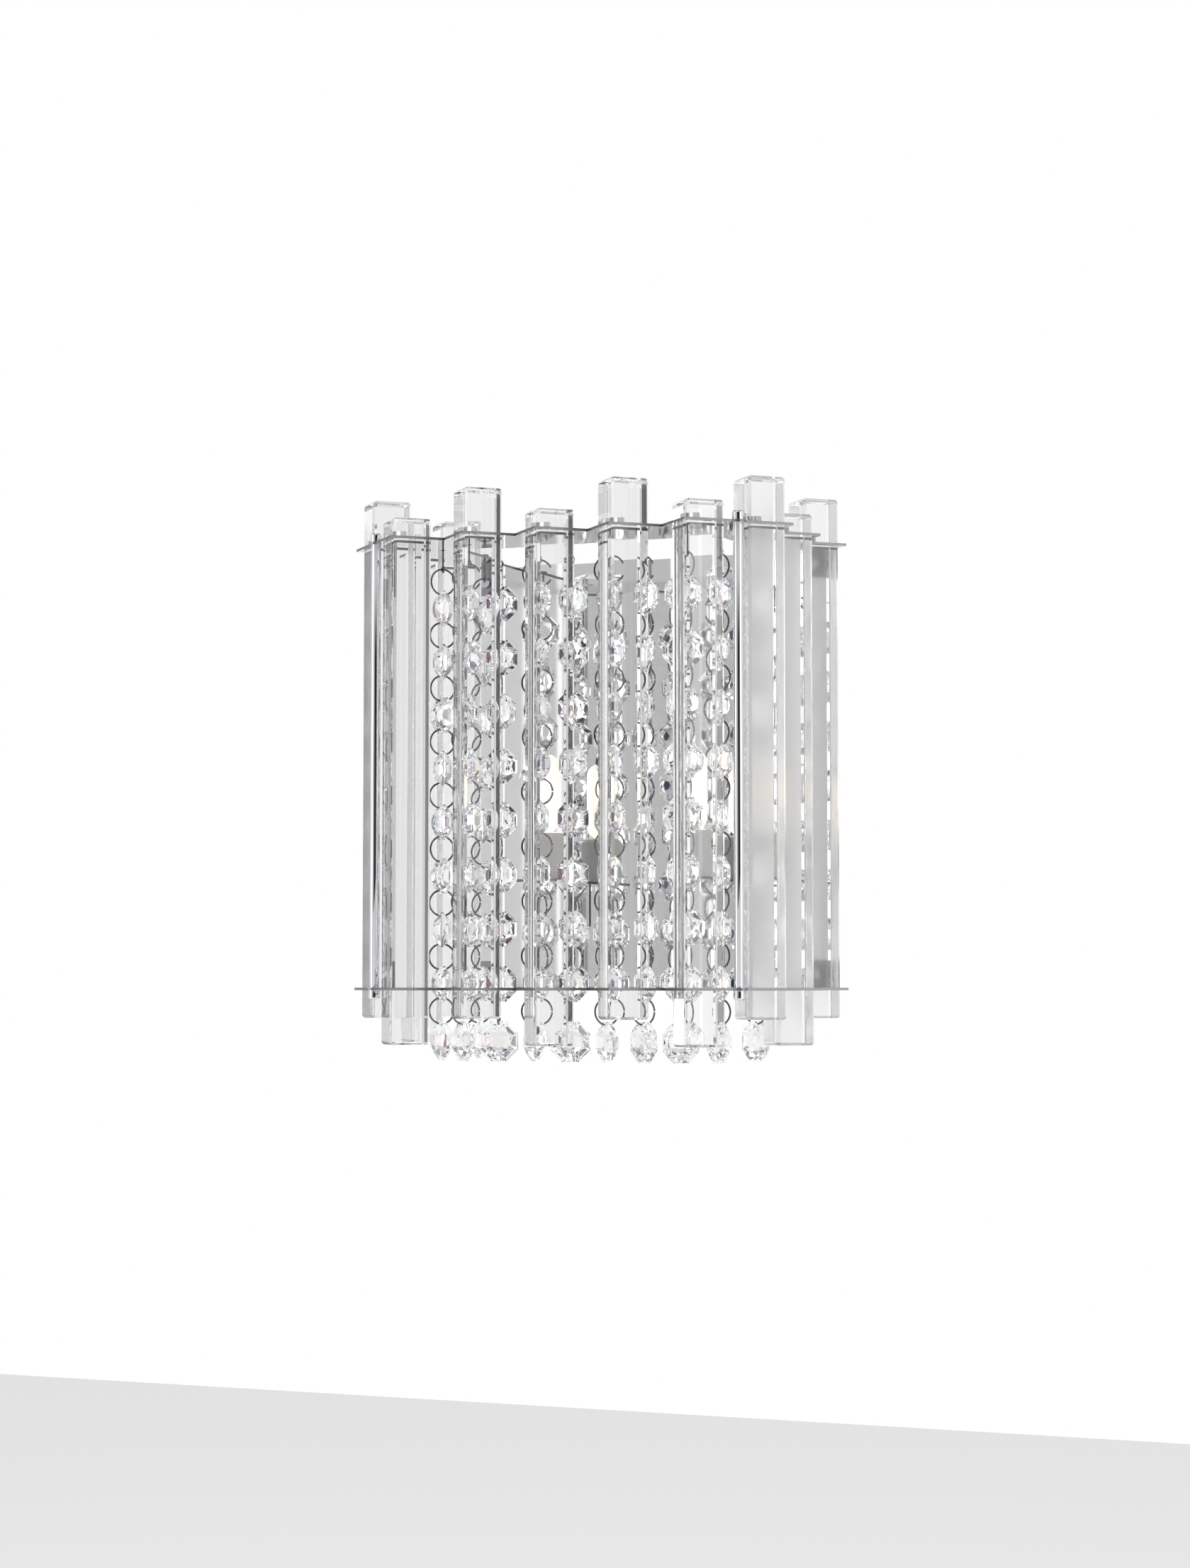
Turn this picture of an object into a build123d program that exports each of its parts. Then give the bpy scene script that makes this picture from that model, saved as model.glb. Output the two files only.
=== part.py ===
"""Crystal wall sconce: two saw-toothed plates on a wall tray, glass bars and hanging crystal strands.

Frame: origin at the middle of the wall bracket's back face, +Z up, the light faces -Y.
All sizes are millimetres.
"""
import os
from itertools import cycle
from math import sqrt

from build123d import *

# ---- the frame of plates -------------------------------------------------
SHEET = 1.2                 # thickness of the polished plates
FRAME_HEIGHT = 210.0        # outside of the bottom plate to outside of the top plate
TOOTH_PITCH = 36.5          # apex to apex along every side
FRONT_TEETH = 5
SIDE_TEETH = 3
CORNER_RUN = 37.8           # how far the cut corner runs back, and out to each side
TRAY_DEPTH = 20.0           # wall to the front face of the back plate
REAR_RUN = 16.2             # last side tip to the front face of the back plate
TOP_WEBS = (24.7, 13.7)     # plate left behind the front bars and inside the side bars
BOTTOM_WEBS = (2.2, 2.1)
TAB_WIDTH = 11.0            # tabs at the rear ends of the arms, screwed to the back plate
TAB_HEIGHT = 13.0
TAB_INSET = 1.6             # tabs outside the bottom plate's opening

# ---- glass bars ----------------------------------------------------------
BAR = 18.0                  # side of the square section
BAR_EDGE = 1.0              # chamfer along every edge
BAR_OVERHANG = 17.0         # outside each plate, as a mean of the high and the low bars
BAR_MARGIN = 2.7            # plate left outside a bar, square to its faces
BAR_SLACK = 0.3             # all round a bar in the plates' holes
BAR_STAGGER = 12.0          # high bars stand this much above the low ones
BAR_LIFT = -2.0             # middle of both heights above the middle of the frame
STOP = 2.0                  # section of the square stop pin through a bar's front corner
STOP_LENGTH = 9.0
STOP_INSET = 3.0            # front corner of a bar to the middle of its stop pin
STOP_GAP = 0.3              # stop pin above the top plate, and round the pin in its hole

# ---- tie rods ------------------------------------------------------------
ROD = 4.6
ROD_THREAD = 3.0
ROD_SLACK = 0.15            # radial clearance of the threaded ends in the plates
ROD_INSET = 1.4             # middle of a rod inside the cut corner's edge
ROD_EAR = 3.6               # radius of the plate's ear round a rod
NUT = 5.4                   # diameter of the rods' round nuts
NUT_HEIGHT = 4.0
NUT_EDGE = 0.5
ROD_PROUD = 2.0             # threaded ends outside the plates
THREAD_SLACK = 0.02         # nuts on their threads

# ---- strands -------------------------------------------------------------
BEAD = 16.0                 # across the flats of an octagonal bead
BEAD_THICKNESS = 8.0
DROP = 18.4                 # across the flats of the last, larger bead
DROP_THICKNESS = 9.2
FACETS = 8                  # round each face of a bead, and so its sides
TABLE = 0.56                # half diagonal of a bead's square table, as a share of the bead
BEAD_HOLE = 1.9             # side of the square hole
HOLE_EDGE = 1.4             # middle of a hole inside the bead's edge
BEADS = 8
STRAND_PITCH = 25.4         # bead to bead
FIRST_DROP = 29.2           # top of the frame to the first bead's middle
WIRE = 1.1                  # links and hooks
LINK_SIDES = 6
EYE = 1.0                   # inner radius of a hook's eye
HOOK_HEAD = 4.0             # width of the head above the plate
HOOK_HEAD_HEIGHT = 1.2
HOOK_GAP = 0.3              # head above the plate
HOOK_HOLE = 2.6             # diameter of the holes in the top plate
FRONT_STRANDS = 7
FRONT_GAP = 9.0             # front row of strands behind the bottom plate's rim
CORNER_GAPS = (9.4, 8.0)    # corner strands inside the bottom plate's arms, and behind the front row
SIDE_GAP = 7.9              # side strands inside the bottom plate's arms
# how far each strand's beads face to the right of straight ahead, from the left rear to the right
STRAND_ANGLES = (-50, -45, -35, 20, -50, 15, -40, -30, 50, 80, 70)

# ---- wall tray, bracket and lamps ---------------------------------------
TRAY_MARGIN = 0.5           # tray outside the plates' tabs
TRAY_CORNER = 3.0
BRACKET_LENGTH = 150.0
BRACKET_WIDTH = 24.0
BRACKET_SHEET = 1.5
WALL_HOLE = 5.5             # diameter of the two wall screw holes
WALL_HOLE_SPACING = 60.0
STUD = 4.0
STUD_SPACING = 120.0
STUD_SLACK = 0.25
STUD_PROUD = 5.0            # studs in front of the back plate
CAP_NUT = 8.0
CAP_NUT_HEIGHT = 7.0
CAP_NUT_EDGE = 2.0
SCREW = 3.0                 # thread of the small screws
SCREW_HEAD = 5.5
SCREW_HEAD_HEIGHT = 2.0
SCREW_SLACK = 0.2
SCREW_LENGTH = 5.0
CUT = 8.0                   # holes are cut this deep, past both faces of a sheet
TERMINAL = (34.0, 14.0, 17.0)
TERMINAL_DROP = 60.0        # top of the frame to the middle of the terminal block
TERMINAL_PITCH = 10.0       # lead to lead
TERMINAL_BORE = 4.4
TERMINAL_MOUTH = 5.0        # depth of the lead holes
LAMP_X = 38.0
LAMP_REACH = 34.0           # front face of the back plate to a lamp's axis
SHELF_LIFT = 53.0           # underside of the frame to the top of the lamp brackets' shelves
SHELF_WIDTH = 20.0
SHELF_MARGIN = 1.0          # shelf in front of the lamp holder
SHELF_DROP = 22.0
HOLDER = 18.0               # diameter of a lamp holder
HOLDER_HEIGHT = 22.0
HOLDER_EDGE = 1.5           # chamfer round the holder's mouth
RECESS = (10.4, 5.0, 8.0)   # recess for a lamp's pinch
RECESS_SLACK = 0.4
CAPSULE = 12.0              # diameter of a lamp's glass capsule
CAPSULE_HEIGHT = 38.0
CAPSULE_TAPER = (1.5, 2.5)  # how far its foot draws in, and over what height
CAPSULE_TIP = 3.5           # bevel round its tip
FOOT_GAP = 0.3              # lamp's foot above the floor of the recess
PIN = 1.2
PIN_SPACING = 5.6
PIN_LENGTH = 8.0
PIN_SLACK = 0.1

# ---- places that follow from the sizes above -----------------------------
TOP = FRAME_HEIGHT / 2
PLATE_FACE = -TRAY_DEPTH                     # front face of the back plate
PLATE_DEPTH = CORNER_RUN + (SIDE_TEETH - 1) * TOOTH_PITCH + REAR_RUN
APEX_Y = PLATE_FACE - PLATE_DEPTH            # front apexes
TOOTH = TOOTH_PITCH / 2                      # teeth are 90 degrees, so as deep as half their pitch
FRONT_HALF = (FRONT_TEETH - 1) * TOOTH_PITCH / 2
SIDE_X = FRONT_HALF + CORNER_RUN             # tips of the side teeth
SIDE_Y = APEX_Y + CORNER_RUN                 # first side tip
BAR_DEEP = BAR_MARGIN * sqrt(2) + BAR / sqrt(2)   # tip of a tooth to the middle of its bar
FRONT_BAR_Y = APEX_Y + BAR_DEEP
SIDE_BAR_X = SIDE_X - BAR_DEEP
BAR_BACK = BAR_DEEP + BAR / sqrt(2)          # tip of a tooth to the inner corner of its bar
TOP_RIM, BOTTOM_RIM = [BAR_BACK + webs[0] for webs in (TOP_WEBS, BOTTOM_WEBS)]
TOP_ARM, BOTTOM_ARM = [SIDE_X - BAR_BACK - webs[1] for webs in (TOP_WEBS, BOTTOM_WEBS)]
TAB_X = BOTTOM_ARM + TAB_INSET + TAB_WIDTH / 2
TRAY_WIDTH = 2 * (TAB_X + TAB_WIDTH / 2 + TRAY_MARGIN)
FIRST_BEAD = TOP - FIRST_DROP                # height of the first bead's middle
SHELF_Z = SHELF_LIFT - TOP
CORNER_MID = ((FRONT_HALF + SIDE_BAR_X) / 2, (FRONT_BAR_Y + SIDE_Y) / 2)
CORNER_OUT = (FRONT_HALF - APEX_Y - CORNER_MID[0] + CORNER_MID[1]) / 2 - ROD_INSET / sqrt(2)
ROD_XY = (CORNER_MID[0] + CORNER_OUT, CORNER_MID[1] - CORNER_OUT)


def saved(builder, name):
    """Label a finished piece and write it to its own file."""
    builder.part.label = name
    export_step(builder.part, f"parts/{name}.step")


def side_tip(number):
    return SIDE_Y + number * TOOTH_PITCH


def bar_places():
    """Middles of the bars in plan, from the left rear round the front to the right rear."""
    left = [(-SIDE_BAR_X, side_tip(n)) for n in reversed(range(SIDE_TEETH))]
    front = [(n * TOOTH_PITCH - FRONT_HALF, FRONT_BAR_Y) for n in range(FRONT_TEETH)]
    right = [(SIDE_BAR_X, side_tip(n)) for n in range(SIDE_TEETH)]
    return left + front + right


def strand_places():
    """Hook holes as (x, y, turn), from the left rear round the front to the right rear."""
    middle = (FRONT_STRANDS - 1) / 2
    row = APEX_Y + BOTTOM_RIM + FRONT_GAP
    front = [((n - middle) * TOOTH_PITCH / 2, row) for n in range(FRONT_STRANDS)]
    corner = (BOTTOM_ARM - CORNER_GAPS[0], row + CORNER_GAPS[1])
    beside = (BOTTOM_ARM - SIDE_GAP, (side_tip(1) + side_tip(2)) / 2)
    right = [corner, beside]
    left = [(-x, y) for x, y in reversed(right)]
    return [(x, y, turn) for (x, y), turn in zip(left + front + right, cycle(STRAND_ANGLES))]


def half_outline():
    """Right half of the toothed edge, from the middle apex to the rear end."""
    points = []
    for number in range(FRONT_TEETH // 2):
        points.append((number * TOOTH_PITCH, APEX_Y))
        points.append((number * TOOTH_PITCH + TOOTH, APEX_Y + TOOTH))
    points.append((FRONT_HALF, APEX_Y))
    for number in range(SIDE_TEETH):
        points.append((SIDE_X, side_tip(number)))
        points.append((SIDE_X - TOOTH, side_tip(number) + TOOTH))
    last = side_tip(SIDE_TEETH - 1)
    points[-1] = (SIDE_X - (PLATE_FACE - last), PLATE_FACE)
    return points


def plate_sketch(arm, rim):
    """Toothed U of a plate in plan: bars' holes, rod holes and the opening back to the tray."""
    right = half_outline()
    left = [(-x, y) for x, y in reversed(right[1:])]
    with BuildSketch() as plan:
        with BuildLine():
            Polyline(left + right, close=True)
        make_face()
        with Locations(ROD_XY, (-ROD_XY[0], ROD_XY[1])):
            Circle(ROD_EAR)
        with Locations((0, PLATE_FACE)):
            Rectangle(2 * arm, 2 * (PLATE_DEPTH - rim), mode=Mode.SUBTRACT)
        with Locations(*bar_places()):
            Rectangle(BAR + 2 * BAR_SLACK, BAR + 2 * BAR_SLACK, rotation=45, mode=Mode.SUBTRACT)
        with Locations(ROD_XY, (-ROD_XY[0], ROD_XY[1])):
            Circle(ROD_THREAD / 2 + ROD_SLACK, mode=Mode.SUBTRACT)
    return plan.sketch


def tab_places(z):
    return [(side * TAB_X, PLATE_FACE, z) for side in (-1, 1)]


TAB_SCREW_Z = TOP - SHEET - TAB_HEIGHT / 2
LAMP_SCREW_Z = SHELF_Z - SHEET - SHELF_DROP / 2


def bracket_places(y, z):
    return [(side * LAMP_X, y, z) for side in (-1, 1)]


def facing_front(places):
    """The same places turned so that +Z points away from the wall."""
    return [Location(place, (90, 0, 0)) for place in places]


os.makedirs("parts", exist_ok=True)

# ---- plates --------------------------------------------------------------
with BuildPart() as top_plate:
    with BuildSketch(Plane.XY.offset(TOP - SHEET)):
        add(plate_sketch(TOP_ARM, TOP_RIM))
        with Locations(*[(x, y) for x, y, turn in strand_places()]):
            Circle(HOOK_HOLE / 2, mode=Mode.SUBTRACT)
    extrude(amount=SHEET)
    with Locations(*tab_places(TOP - SHEET)):
        Box(TAB_WIDTH, SHEET, TAB_HEIGHT, align=(Align.CENTER, Align.MAX, Align.MAX))
    with Locations(*facing_front(tab_places(TAB_SCREW_Z))):
        Hole(SCREW / 2 + SCREW_SLACK, depth=CUT)
saved(top_plate, "top_plate")

with BuildPart() as bottom_plate:
    with BuildSketch(Plane.XY.offset(-TOP)):
        add(plate_sketch(BOTTOM_ARM, BOTTOM_RIM))
    extrude(amount=SHEET)
    with Locations(*tab_places(-TOP + SHEET)):
        Box(TAB_WIDTH, SHEET, TAB_HEIGHT, align=(Align.CENTER, Align.MAX, Align.MIN))
    with Locations(*facing_front(tab_places(-TAB_SCREW_Z))):
        Hole(SCREW / 2 + SCREW_SLACK, depth=CUT)
saved(bottom_plate, "bottom_plate")

# ---- wall tray: polished front face, folded edges, open towards the wall --
with BuildPart() as back_plate:
    with BuildSketch(Plane.XZ):
        RectangleRounded(TRAY_WIDTH, FRAME_HEIGHT, TRAY_CORNER)
    extrude(amount=TRAY_DEPTH)
    with BuildSketch(Plane.XZ):
        RectangleRounded(TRAY_WIDTH - 2 * SHEET, FRAME_HEIGHT - 2 * SHEET, TRAY_CORNER - SHEET)
    extrude(amount=TRAY_DEPTH - SHEET, mode=Mode.SUBTRACT)
    screw_places = tab_places(TAB_SCREW_Z) + tab_places(-TAB_SCREW_Z)
    screw_places += bracket_places(PLATE_FACE, LAMP_SCREW_Z)
    with Locations(*facing_front(screw_places)):
        Hole(SCREW / 2 + SCREW_SLACK, depth=CUT)
    stud_places = [(side * STUD_SPACING / 2, PLATE_FACE, 0) for side in (-1, 1)]
    with Locations(*facing_front(stud_places)):
        Hole(STUD / 2 + STUD_SLACK, depth=CUT)
saved(back_plate, "back_plate")

with BuildPart() as wall_bracket:
    with BuildSketch(Plane.XZ):
        SlotOverall(BRACKET_LENGTH, BRACKET_WIDTH)
        with Locations((-WALL_HOLE_SPACING / 2, 0), (WALL_HOLE_SPACING / 2, 0)):
            Circle(WALL_HOLE / 2, mode=Mode.SUBTRACT)
    extrude(amount=BRACKET_SHEET)
saved(wall_bracket, "wall_bracket")

with BuildPart() as bracket_studs:
    with BuildSketch(Plane.XZ.offset(BRACKET_SHEET)):
        with Locations((-STUD_SPACING / 2, 0), (STUD_SPACING / 2, 0)):
            Circle(STUD / 2)
    extrude(amount=TRAY_DEPTH - BRACKET_SHEET + STUD_PROUD)
saved(bracket_studs, "bracket_studs")


def closed_nut(width, height, edge, thread, depth):
    """Round closed nut with a bevelled top, standing on Z = 0, its blind thread open below."""
    with BuildPart() as nut:
        Cylinder(width / 2, height, align=(Align.CENTER, Align.CENTER, Align.MIN))
        chamfer(nut.edges().group_by(Axis.Z)[-1], edge)
        Cylinder(thread / 2 + THREAD_SLACK, 2 * (depth + THREAD_SLACK), mode=Mode.SUBTRACT)
    return nut.part


cap_nut = closed_nut(CAP_NUT, CAP_NUT_HEIGHT, CAP_NUT_EDGE, STUD, STUD_PROUD)

with BuildPart() as cap_nuts:
    with Locations(*facing_front(stud_places)):
        add(cap_nut)
saved(cap_nuts, "cap_nuts")

with BuildPart() as plate_screws:
    faces = [(x, y - SHEET, z) for x, y, z in tab_places(TAB_SCREW_Z) + tab_places(-TAB_SCREW_Z)]
    with Locations(*facing_front(faces)):
        Cylinder(SCREW_HEAD / 2, SCREW_HEAD_HEIGHT, align=(Align.CENTER, Align.CENTER, Align.MIN))
        Cylinder(SCREW / 2, SCREW_LENGTH, align=(Align.CENTER, Align.CENTER, Align.MAX))
saved(plate_screws, "plate_screws")

with BuildPart() as terminal_block:
    wide, deep, tall = TERMINAL
    middle_z = TOP - TERMINAL_DROP
    with Locations((0, PLATE_FACE + SHEET, middle_z)):
        Box(wide, deep, tall, align=(Align.CENTER, Align.MIN, Align.CENTER))
    mouth = (PLATE_FACE + SHEET + deep / 2, middle_z - tall / 2)
    with Locations(*[(step * TERMINAL_PITCH, *mouth) for step in (-1, 0, 1)]):
        Cylinder(TERMINAL_BORE / 2, 2 * TERMINAL_MOUTH, mode=Mode.SUBTRACT)
saved(terminal_block, "terminal_block")

# ---- tie rods and their nuts ---------------------------------------------
for side, name in ((-1, "tie_rod_left"), (1, "tie_rod_right")):
    with BuildPart() as tie_rod:
        with Locations((side * ROD_XY[0], ROD_XY[1], 0)):
            Cylinder(ROD / 2, FRAME_HEIGHT - 2 * SHEET)
            Cylinder(ROD_THREAD / 2, FRAME_HEIGHT + 2 * ROD_PROUD)
    saved(tie_rod, name)

rod_nut = closed_nut(NUT, NUT_HEIGHT, NUT_EDGE, ROD_THREAD, ROD_PROUD)

with BuildPart() as rod_nuts:
    upper = [Location((side * ROD_XY[0], ROD_XY[1], TOP)) for side in (-1, 1)]
    lower = [Location((side * ROD_XY[0], ROD_XY[1], -TOP), (180, 0, 0)) for side in (-1, 1)]
    with Locations(*upper, *lower):
        add(rod_nut)
saved(rod_nuts, "rod_nuts")

# ---- glass bars and their stop pins ---------------------------------------
STOP_Z = TOP + STOP_GAP + STOP / 2


def stop_place(place):
    """Middle of the stop pin through a bar's front corner."""
    x, y = place
    return (x, y - BAR / sqrt(2) + STOP_INSET, STOP_Z)


for number, place in enumerate(bar_places(), start=1):
    lift = BAR_LIFT + (BAR_STAGGER / 2 if number % 2 else -BAR_STAGGER / 2)
    with BuildPart() as glass_bar:
        with Locations(Location((*place, lift), (0, 0, 45))):
            Box(BAR, BAR, FRAME_HEIGHT + 2 * BAR_OVERHANG)
        chamfer(glass_bar.edges(), BAR_EDGE)
        with Locations(stop_place(place)):
            Box(BAR, STOP + STOP_GAP, STOP + STOP_GAP, mode=Mode.SUBTRACT)
    saved(glass_bar, f"glass_bar_{number:02d}")

with BuildPart() as bar_stops:
    with Locations(*[stop_place(place) for place in bar_places()]):
        Box(STOP_LENGTH, STOP, STOP)
saved(bar_stops, "bar_stops")

# ---- lamps: bracket, ceramic holder, capsule and contact pins --------------
LAMP_Y = PLATE_FACE - LAMP_REACH
lamp_places = bracket_places(LAMP_Y, SHELF_Z)

with BuildPart() as lamp_brackets:
    shelf = LAMP_REACH + HOLDER / 2 + SHELF_MARGIN
    with Locations(*bracket_places(PLATE_FACE, SHELF_Z)):
        Box(SHELF_WIDTH, shelf, SHEET, align=(Align.CENTER, Align.MAX, Align.MAX))
        Box(SHELF_WIDTH, SHEET, SHELF_DROP, align=(Align.CENTER, Align.MAX, Align.MAX))
    with Locations(*facing_front(bracket_places(PLATE_FACE, LAMP_SCREW_Z))):
        Hole(SCREW / 2 + SCREW_SLACK, depth=CUT)
saved(lamp_brackets, "lamp_brackets")

with BuildPart() as bracket_screws:
    with Locations(*facing_front(bracket_places(PLATE_FACE - SHEET, LAMP_SCREW_Z))):
        Cylinder(SCREW_HEAD / 2, SCREW_HEAD_HEIGHT, align=(Align.CENTER, Align.CENTER, Align.MIN))
        Cylinder(SCREW / 2, SCREW_LENGTH, align=(Align.CENTER, Align.CENTER, Align.MAX))
saved(bracket_screws, "bracket_screws")

with BuildPart() as holder:
    Cylinder(HOLDER / 2, HOLDER_HEIGHT, align=(Align.CENTER, Align.CENTER, Align.MIN))
    chamfer(holder.edges().group_by(Axis.Z)[-1], HOLDER_EDGE)
    with Locations((0, 0, HOLDER_HEIGHT)):
        Box(RECESS[0], RECESS[1], 2 * RECESS[2], mode=Mode.SUBTRACT)
    with Locations((-PIN_SPACING / 2, 0, HOLDER_HEIGHT), (PIN_SPACING / 2, 0, HOLDER_HEIGHT)):
        Cylinder(PIN / 2 + PIN_SLACK, 2 * (RECESS[2] + PIN_LENGTH), mode=Mode.SUBTRACT)

with BuildPart() as capsule:
    radius = CAPSULE / 2
    Cylinder(radius, CAPSULE_HEIGHT, align=(Align.CENTER, Align.CENTER, Align.MIN))
    chamfer(capsule.edges().group_by(Axis.Z)[-1], CAPSULE_TIP)
    chamfer(capsule.edges().group_by(Axis.Z)[0], CAPSULE_TAPER[1], CAPSULE_TAPER[0])
    pinch = [size - 2 * RECESS_SLACK for size in RECESS[:2]]
    Box(*pinch, RECESS[2] - FOOT_GAP, align=(Align.CENTER, Align.CENTER, Align.MAX))

for (x, y, z), word in zip(lamp_places, ("left", "right")):
    with BuildPart() as lamp_holder:
        with Locations((x, y, z)):
            add(holder.part)
    saved(lamp_holder, f"lamp_holder_{word}")
    with BuildPart() as lamp_capsule:
        with Locations((x, y, z + HOLDER_HEIGHT)):
            add(capsule.part)
    saved(lamp_capsule, f"lamp_capsule_{word}")

with BuildPart() as lamp_pins:
    foot = HOLDER_HEIGHT - RECESS[2] + FOOT_GAP
    pins = [(x + step * PIN_SPACING, y, z + foot) for x, y, z in lamp_places for step in (-0.5, 0.5)]
    with Locations(*pins):
        Cylinder(PIN / 2, PIN_LENGTH, align=(Align.CENTER, Align.CENTER, Align.MAX))
saved(lamp_pins, "lamp_pins")

# ---- one strand: octagonal cut beads on wire links, hung by a headed hook ---


def cut_bead(size, thickness):
    """Octagonal bead facing -Y: square table, four long and four pointed facets on each face."""
    flat = size / 2
    table = TABLE * flat
    half = thickness / 2
    with BuildPart() as bead:
        with BuildSketch(Plane.XZ):
            RegularPolygon(flat, FACETS, major_radius=False, rotation=180 / FACETS)
        extrude(amount=half)
        for number in range(FACETS):
            out = Vector(1, 0, 0).rotate(Axis.Y, number * 360 / FACETS)
            drawn_in = flat - (table / sqrt(2) if number % 2 else table)
            facet = Plane(out * flat, z_dir=out * half - Vector(0, drawn_in, 0))
            split(bisect_by=facet, keep=Keep.BOTTOM)
        mirror(about=Plane.XZ)
        with Locations((0, 0, flat - HOLE_EDGE), (0, 0, HOLE_EDGE - flat)):
            Box(BEAD_HOLE, 2 * thickness, BEAD_HOLE, mode=Mode.SUBTRACT)
    return bead.part


def ring(plane, inner, sides):
    """Closed wire link of a few straight sides, flat at top and bottom."""
    turn = 90 + 180 / sides
    with BuildPart() as link:
        with BuildSketch(plane):
            RegularPolygon(inner + WIRE, sides, major_radius=False, rotation=turn)
            RegularPolygon(inner, sides, major_radius=False, rotation=turn, mode=Mode.SUBTRACT)
        extrude(amount=WIRE / 2, both=True)
    return link.part


HOLE_OUT = BEAD / 2 - HOLE_EDGE                       # bead's middle to its holes
LINK = STRAND_PITCH / 2 - HOLE_OUT                    # link's middle to the middle of its wire
LAST_LINK = FIRST_BEAD - (BEADS - 0.5) * STRAND_PITCH
DROP_Z = LAST_LINK - LINK - (DROP / 2 - HOLE_EDGE)
EYE_Z = FIRST_BEAD + STRAND_PITCH / 2 + LINK          # the hook's eye goes round the top link's wire
HEAD_Z = TOP + HOOK_GAP

bead = cut_bead(BEAD, BEAD_THICKNESS)
drop = cut_bead(DROP, DROP_THICKNESS)
link = ring(Plane.YZ, LINK - WIRE / 2, LINK_SIDES)
eye = ring(Plane.XZ, EYE, LINK_SIDES)

with BuildPart() as hook:
    with Locations((0, 0, EYE_Z)):
        add(eye)
    with Locations((0, 0, EYE_Z + EYE + WIRE / 2)):
        Box(WIRE, WIRE, HEAD_Z - EYE_Z - EYE, align=(Align.CENTER, Align.CENTER, Align.MIN))
    with BuildSketch(Plane.XY.offset(HEAD_Z)):
        RegularPolygon(HOOK_HEAD / 2, LINK_SIDES)
    extrude(amount=HOOK_HEAD_HEIGHT)

bead_heights = [FIRST_BEAD - n * STRAND_PITCH for n in range(BEADS)]
link_heights = [FIRST_BEAD + (0.5 - n) * STRAND_PITCH for n in range(BEADS + 1)]

for number, (x, y, turn) in enumerate(strand_places(), start=1):
    with BuildPart() as crystals:
        with Locations(*[Location((x, y, z), (0, 0, turn)) for z in bead_heights]):
            add(bead)
        with Locations(Location((x, y, DROP_Z), (0, 0, turn))):
            add(drop)
    saved(crystals, f"crystals_{number:02d}")
    with BuildPart() as links:
        with Locations(*[Location((x, y, z), (0, 0, turn)) for z in link_heights]):
            add(link)
        with Locations(Location((x, y, 0), (0, 0, turn))):
            add(hook.part)
    saved(links, f"links_{number:02d}")
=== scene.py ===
"""Crystal wall sconce: polished toothed plates, glass bars and swinging strands of cut crystal.

Sizes are written in millimetres and turned to metres by MM, apart from the floor and the light
panels, which are in metres. The light hangs on the wall at Y = 0, faces -Y and has +Z up.
"""

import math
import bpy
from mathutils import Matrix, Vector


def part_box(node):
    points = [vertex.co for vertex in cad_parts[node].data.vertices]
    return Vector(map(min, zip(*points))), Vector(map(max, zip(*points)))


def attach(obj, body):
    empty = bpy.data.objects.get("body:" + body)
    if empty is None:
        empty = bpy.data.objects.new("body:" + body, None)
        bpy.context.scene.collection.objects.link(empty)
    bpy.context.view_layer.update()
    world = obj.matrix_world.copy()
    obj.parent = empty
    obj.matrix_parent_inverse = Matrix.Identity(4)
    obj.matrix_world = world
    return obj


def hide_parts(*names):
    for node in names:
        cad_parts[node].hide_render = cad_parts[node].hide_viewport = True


bl_info = {
    "name": "Crystal wall sconce",
    "version": (1, 0, 0),
    "blender": (4, 5, 0),
    "location": "View3D > Sidebar > Sconce",
    "description": "Builds a crystal wall sconce around its measured frame",
    "category": "Object",
}

import bmesh
import bpy
from bpy.props import FloatProperty, FloatVectorProperty, IntProperty, PointerProperty
from mathutils import Matrix, Vector

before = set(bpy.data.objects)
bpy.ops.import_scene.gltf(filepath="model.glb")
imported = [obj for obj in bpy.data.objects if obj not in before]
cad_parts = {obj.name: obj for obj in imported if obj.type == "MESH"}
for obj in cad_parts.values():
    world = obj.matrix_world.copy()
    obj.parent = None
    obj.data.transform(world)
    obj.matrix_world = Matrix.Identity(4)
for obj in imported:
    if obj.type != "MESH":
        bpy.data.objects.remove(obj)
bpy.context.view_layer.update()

MM = 0.001
BARS = sorted(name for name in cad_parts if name.startswith("glass_bar_"))
CRYSTALS = sorted(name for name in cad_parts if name.startswith("crystals_"))
LINKS = sorted(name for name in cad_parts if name.startswith("links_"))
LAMPS = ("left", "right")
ROOT = "sconce"
# how far each free strand hangs turned, in degrees, from the left rear to the right rear
STRAND_ANGLES = (-50, -45, -35, 20, -50, 15, -40, -30, 50, 80, 70)
NODE_BEAD = 16.0     # height of a bead's solid, mm
HOLE = 2.0           # width of a bead's holes, mm
HOLE_EDGE = 1.4      # bead's edge to the middle of its hole, mm
DRILL = 20.0         # length of the drill, longer than a bead is thick, mm
TWIST = (2.3, 1.7)   # radians by which the beads' twist runs on, from bead to bead and strand to strand
WELD = 0.001         # points nearer to each other than this are one, mm


def hex_colour(text):
    """An sRGB hex value as linear red, green and blue, with an alpha of 1."""
    channels = [int(text[place:place + 2], 16) / 255 for place in (1, 3, 5)]
    linear = [c / 12.92 if c <= 0.04045 else ((c + 0.055) / 1.055) ** 2.4 for c in channels]
    return (*linear, 1.0)


# ---- what a user would change ---------------------------------------------


class BarSettings(bpy.types.PropertyGroup):
    edge: FloatProperty(
        name="Edge", description="Softened edge beside a bar's ground bevels, mm", default=0.15)
    tint: FloatVectorProperty(
        name="Tint", description="Colour of the bar glass", subtype="COLOR", size=4,
        default=hex_colour("#F8F8F8"))


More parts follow.
